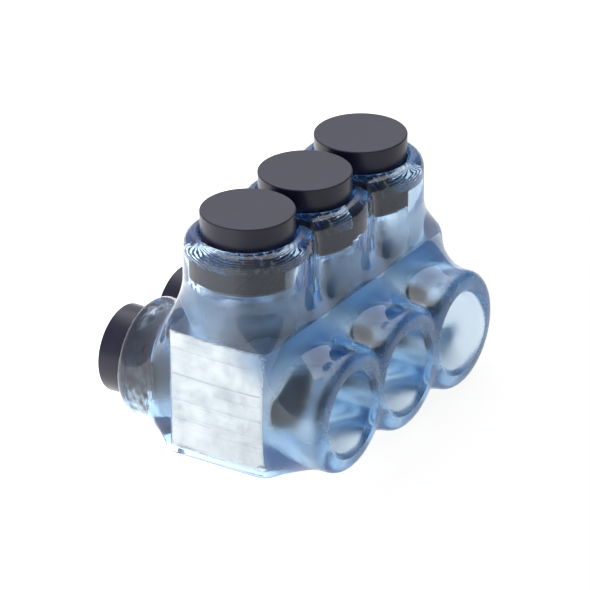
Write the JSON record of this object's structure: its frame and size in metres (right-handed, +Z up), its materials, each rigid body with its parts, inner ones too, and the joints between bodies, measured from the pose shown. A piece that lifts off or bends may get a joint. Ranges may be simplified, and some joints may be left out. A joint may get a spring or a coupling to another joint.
{
  "type": "insulated multi-tap connector",
  "caption": "Clear jacketed aluminium tap connector: wires enter side sleeves, set screws in capped towers clamp them, and plugs close unused ports.",
  "frame": {"origin": "middle of the jacket's flat underside, midway between the block's front and rear faces", "axes": "+X along the row of ports, -Y out of the open wire sleeves, +Y out of the plugged ones, +Z up out of the screw towers"},
  "size_m": [0.0826, 0.0669, 0.0628],
  "materials": {
    "clear_vinyl": "clear, blue tint, soft gloss",
    "block_aluminium": "mill finish, fine drawn lines",
    "screw_aluminium": "turned",
    "black_plastic": "satin, moulded"
  },
  "bodies": {
    "connector": {"insulating_jacket": "clear_vinyl", "conductor_block": "block_aluminium"},
    "screw_1": {"set_screw_1": "screw_aluminium"},
    "screw_2": {"set_screw_2": "screw_aluminium"},
    "screw_3": {"set_screw_3": "screw_aluminium"},
    "cap_1": {"screw_cap_1": "black_plastic"},
    "cap_2": {"screw_cap_2": "black_plastic"},
    "cap_3": {"screw_cap_3": "black_plastic"},
    "plug_1": {"port_plug_1": "black_plastic"},
    "plug_2": {"port_plug_2": "black_plastic"},
    "plug_3": {"port_plug_3": "black_plastic"}
  },
  "joints": [
    {"name": "screw_1_advance", "type": "slide", "parent": "connector", "child": "screw_1", "axis": [0, 0, -1], "range_m": [0, 0.009]},
    {"name": "screw_2_advance", "type": "slide", "parent": "connector", "child": "screw_2", "axis": [0, 0, -1], "range_m": [0, 0.009]},
    {"name": "screw_3_advance", "type": "slide", "parent": "connector", "child": "screw_3", "axis": [0, 0, -1], "range_m": [0, 0.009]},
    {"name": "cap_1_pull", "type": "slide", "parent": "connector", "child": "cap_1", "axis": [0, 0, 1], "range_m": [0, 0.02]},
    {"name": "cap_2_pull", "type": "slide", "parent": "connector", "child": "cap_2", "axis": [0, 0, 1], "range_m": [0, 0.02]},
    {"name": "cap_3_pull", "type": "slide", "parent": "connector", "child": "cap_3", "axis": [0, 0, 1], "range_m": [0, 0.02]},
    {"name": "plug_1_pull", "type": "slide", "parent": "connector", "child": "plug_1", "axis": [0, 1, 0], "range_m": [0, 0.018]},
    {"name": "plug_2_pull", "type": "slide", "parent": "connector", "child": "plug_2", "axis": [0, 1, 0], "range_m": [0, 0.018]},
    {"name": "plug_3_pull", "type": "slide", "parent": "connector", "child": "plug_3", "axis": [0, 1, 0], "range_m": [0, 0.018]}
  ]
}
